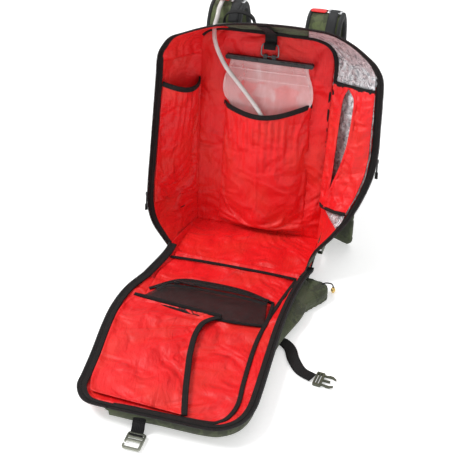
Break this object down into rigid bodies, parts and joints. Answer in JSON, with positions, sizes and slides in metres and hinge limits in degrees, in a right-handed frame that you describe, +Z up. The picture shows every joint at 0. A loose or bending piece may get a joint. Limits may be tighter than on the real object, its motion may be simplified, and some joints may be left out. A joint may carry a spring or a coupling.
{
  "type": "ski backpack",
  "caption": "Panel-loading ski backpack, unzipped and standing open, with padded harness, sleeve for a drinking bag and hose, inner pockets and fold-down front.",
  "frame": {"origin": "on the resting face of the base, under the middle of the inner face of the back panel", "axes": "+Z up, -Y towards the folded-down front panel, +X to the right of a person who looks into the open pack"},
  "size_m": [0.4948, 0.8726, 0.5135],
  "materials": {
    "shell_fabric": "coated pack cloth, matt",
    "lining_fabric": "crinkled lining cloth, slight sheen",
    "webbing": "ribbed webbing, matt",
    "binding": "woven edge binding",
    "mesh": "open mesh",
    "pad_cover": "padded cloth, matt",
    "air_mesh": "spacer mesh",
    "frame_plastic": "sheet plastic",
    "stay_metal": "flat bar",
    "foil": "crinkled reflective film",
    "buckle_plastic": "moulded, matt",
    "black_plastic": "moulded, matt",
    "zip_coil": "coil zip on woven tape",
    "hook_metal": "anodised, worn",
    "wire": "bent wire",
    "bag_film": "clear soft film",
    "hose_tube": "clear soft tube",
    "bead_brass": "polished"
  },
  "bodies": {
    "pack_body": {"back_lining": "lining_fabric", "frame_sheet": "frame_plastic", "frame_stays": "stay_metal", "back_pad": "air_mesh", "lumbar_pad": "air_mesh", "base_panel": "shell_fabric", "top_wall": "shell_fabric", "side_gussets": "shell_fabric", "top_zip_track": "zip_coil", "hinge_strip": "binding", "hydration_sleeve": "lining_fabric", "hanger_strap": "webbing", "reservoir_closure": "black_plastic", "reservoir_bag": "bag_film", "drinking_hose": "hose_tube", "side_buckle_sockets": "buckle_plastic", "lower_webbing": "webbing", "hanger_ring": "wire"},
    "left_side_wall": {"left_wall": "shell_fabric", "left_pocket": "lining_fabric", "left_zip_track": "zip_coil"},
    "left_slider": {"left_zip_slider": "zip_coil"},
    "right_side_wall": {"right_wall": "shell_fabric", "foil_liner": "foil", "right_pocket": "lining_fabric", "right_zip_track": "zip_coil"},
    "right_slider": {"right_zip_slider": "zip_coil"},
    "front_panel": {"front_shell": "shell_fabric", "front_lining": "lining_fabric", "front_zip_track": "zip_coil", "aid_pocket": "lining_fabric", "mesh_pocket": "mesh", "mesh_zip": "zip_coil", "tool_pocket": "shell_fabric", "boot_gusset": "shell_fabric", "top_strap": "webbing", "side_straps": "webbing", "side_strap_buckles": "buckle_plastic"},
    "panel_left_side": {"panel_side_wall": "shell_fabric", "panel_side_zip_track": "zip_coil"},
    "mesh_slider": {"mesh_zip_slider": "zip_coil"},
    "bead": {"bead_pull": "bead_brass"},
    "hook": {"g_hook": "hook_metal"},
    "left_strap": {"left_shoulder_strap": "pad_cover", "left_load_lifter": "webbing", "left_strap_sleeve": "lining_fabric", "strap_hose": "hose_tube", "bite_valve": "black_plastic"},
    "left_lock": {"left_ladder_lock": "black_plastic"},
    "left_sternum": {"left_sternum_strap": "webbing"},
    "right_strap": {"right_shoulder_strap": "pad_cover", "right_load_lifter": "webbing", "right_strap_pocket": "lining_fabric"},
    "right_lock": {"right_ladder_lock": "black_plastic"},
    "right_sternum": {"right_sternum_strap": "webbing"},
    "left_hip": {"left_hip_wing": "pad_cover", "left_hip_buckle": "black_plastic"},
    "right_hip": {"right_hip_wing": "pad_cover", "right_hip_buckle": "black_plastic"},
    "loop": {"haul_loop": "webbing"}
  },
  "joints": [
    {"name": "front_panel_fold", "type": "hinge", "parent": "pack_body", "child": "front_panel", "pos_m": [0, -0.151, 0.035], "axis": [-1, 0, 0], "range_deg": [0, 102]},
    {"name": "left_wall_fold", "type": "hinge", "parent": "pack_body", "child": "left_side_wall", "pos_m": [-0.141, 0, 0.01], "axis": [0, 0.1392, 0.9903], "range_deg": [0, 32]},
    {"name": "right_wall_fold", "type": "hinge", "parent": "pack_body", "child": "right_side_wall", "pos_m": [0.141, 0, 0.01], "axis": [0, -0.1392, -0.9903], "range_deg": [0, 62]},
    {"name": "panel_left_side_fold", "type": "hinge", "parent": "front_panel", "child": "panel_left_side", "pos_m": [-0.1505, -0.35, 0.006], "axis": [0, 1, 0], "range_deg": [0, 45]},
    {"name": "left_zip_pull", "type": "slide", "parent": "left_side_wall", "child": "left_slider", "axis": [0.045, 0.21, 0.9767], "range_m": [0, 0.3]},
    {"name": "right_zip_pull", "type": "slide", "parent": "right_side_wall", "child": "right_slider", "axis": [-0.075, 0.1781, 0.9811], "range_m": [0, 0.17]},
    {"name": "mesh_zip_pull", "type": "slide", "parent": "front_panel", "child": "mesh_slider", "axis": [1, 0, 0], "range_m": [0, 0.14]},
    {"name": "bead_swing", "type": "hinge", "parent": "front_panel", "child": "bead", "pos_m": [0.186, -0.172, 0.0285], "axis": [0.4789, -0.8779, 0], "range_deg": [0, 75]},
    {"name": "hook_tilt", "type": "hinge", "parent": "front_panel", "child": "hook", "pos_m": [-0.032, -0.64975, 0.005], "axis": [-1, 0, 0], "range_deg": [0, 90]},
    {"name": "left_strap_swing", "type": "hinge", "parent": "pack_body", "child": "left_strap", "pos_m": [-0.104, 0.084, 0.424], "axis": [1, 0, 0], "range_deg": [0, 11]},
    {"name": "left_lock_tilt", "type": "hinge", "parent": "left_strap", "child": "left_lock", "pos_m": [-0.104, 0.122, 0.168], "axis": [1, 0, 0], "range_deg": [-15, 30]},
    {"name": "left_sternum_height", "type": "slide", "parent": "left_strap", "child": "left_sternum", "axis": [0, 0.0712, 0.9975], "range_m": [-0.025, 0.025]},
    {"name": "left_hip_fold", "type": "hinge", "parent": "pack_body", "child": "left_hip", "pos_m": [-0.117, 0.04912, 0.047], "axis": [0, 0, -1], "range_deg": [0, 50]},
    {"name": "right_strap_swing", "type": "hinge", "parent": "pack_body", "child": "right_strap", "pos_m": [0.104, 0.084, 0.424], "axis": [1, 0, 0], "range_deg": [0, 11]},
    {"name": "right_lock_tilt", "type": "hinge", "parent": "right_strap", "child": "right_lock", "pos_m": [0.104, 0.122, 0.168], "axis": [1, 0, 0], "range_deg": [-15, 30]},
    {"name": "right_sternum_height", "type": "slide", "parent": "right_strap", "child": "right_sternum", "axis": [0, 0.0712, 0.9975], "range_m": [-0.025, 0.025]},
    {"name": "right_hip_fold", "type": "hinge", "parent": "pack_body", "child": "right_hip", "pos_m": [0.117, 0.04912, 0.047], "axis": [0, 0, 1], "range_deg": [0, 50]},
    {"name": "haul_loop_flop", "type": "hinge", "parent": "pack_body", "child": "loop", "pos_m": [-0.064, 0.071, 0.458], "axis": [1, 0, 0], "range_deg": [-10, 8]}
  ],
  "couplings": [
    {"joint": "left_wall_fold", "follows": "front_panel_fold", "ratio": 0.31372},
    {"joint": "right_wall_fold", "follows": "front_panel_fold", "ratio": 0.60783},
    {"joint": "panel_left_side_fold", "follows": "front_panel_fold", "ratio": 0.44117}
  ]
}
